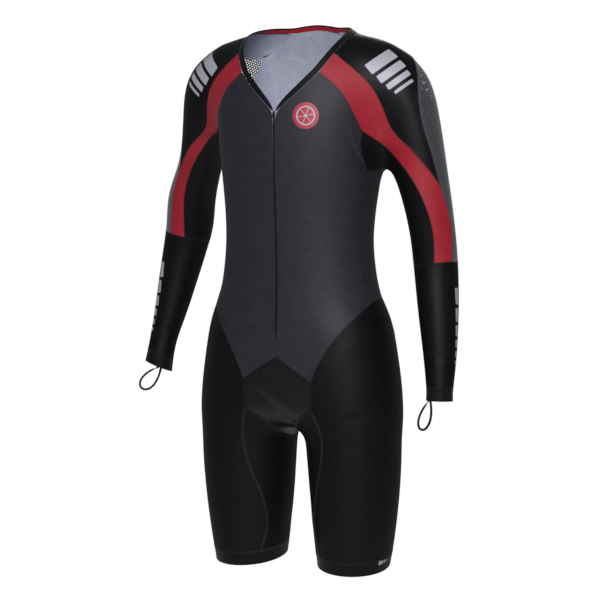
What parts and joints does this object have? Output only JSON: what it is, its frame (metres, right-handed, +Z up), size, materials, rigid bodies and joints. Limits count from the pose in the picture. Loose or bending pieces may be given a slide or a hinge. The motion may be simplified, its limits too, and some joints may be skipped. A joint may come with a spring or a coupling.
{
  "type": "cycling speed suit",
  "caption": "Close-fitting all-in-one cycling suit, hollow in its worn form, with front zip, V neck, long sleeves with mesh upper arms, short legs and thumb loops.",
  "frame": {"origin": "where the suit rests on the wearer's shoulders, at the base of the neck on the middle plane", "axes": "+Z up, -Y to the front of the suit, +X to the wearer's left"},
  "size_m": [0.6928, 0.2985, 1.0125],
  "materials": {
    "charcoal_knit": "smooth warp knit",
    "black_knit": "smooth warp knit, slight sheen",
    "red_knit": "smooth warp knit",
    "black_mesh": "open knit mesh",
    "black_elastic": "woven elastic",
    "insert_knit": "dense knit, slightly glossy",
    "red_tape": "woven tape",
    "zip_tape": "coil zip on a coated tape",
    "slider_metal": "black enamel"
  },
  "bodies": {
    "root": {"back": "black_knit", "crotch_insert": "insert_knit", "cuff_hem_left": "black_elastic", "cuff_hem_right": "black_elastic", "forearm_left": "black_knit", "forearm_right": "black_knit", "front_left": "charcoal_knit", "front_right": "charcoal_knit", "inner_leg_left": "black_knit", "inner_leg_right": "black_knit", "insert_tape": "black_elastic", "leg_hem_left": "black_elastic", "leg_hem_right": "black_elastic", "leg_left": "black_knit", "leg_right": "black_knit", "mesh_left": "black_mesh", "mesh_right": "black_mesh", "neck_binding": "black_elastic", "neck_tape": "red_tape", "red_band_left": "red_knit", "red_band_right": "red_knit", "sleeve_back_left": "black_knit", "sleeve_back_right": "black_knit", "sleeve_front_left": "black_knit", "sleeve_front_right": "black_knit", "sleeve_top_left": "charcoal_knit", "sleeve_top_right": "charcoal_knit", "thumb_loop_left": "black_elastic", "thumb_loop_right": "black_elastic", "zip": "zip_tape", "zip_slider": "slider_metal"}
  },
  "joints": []
}
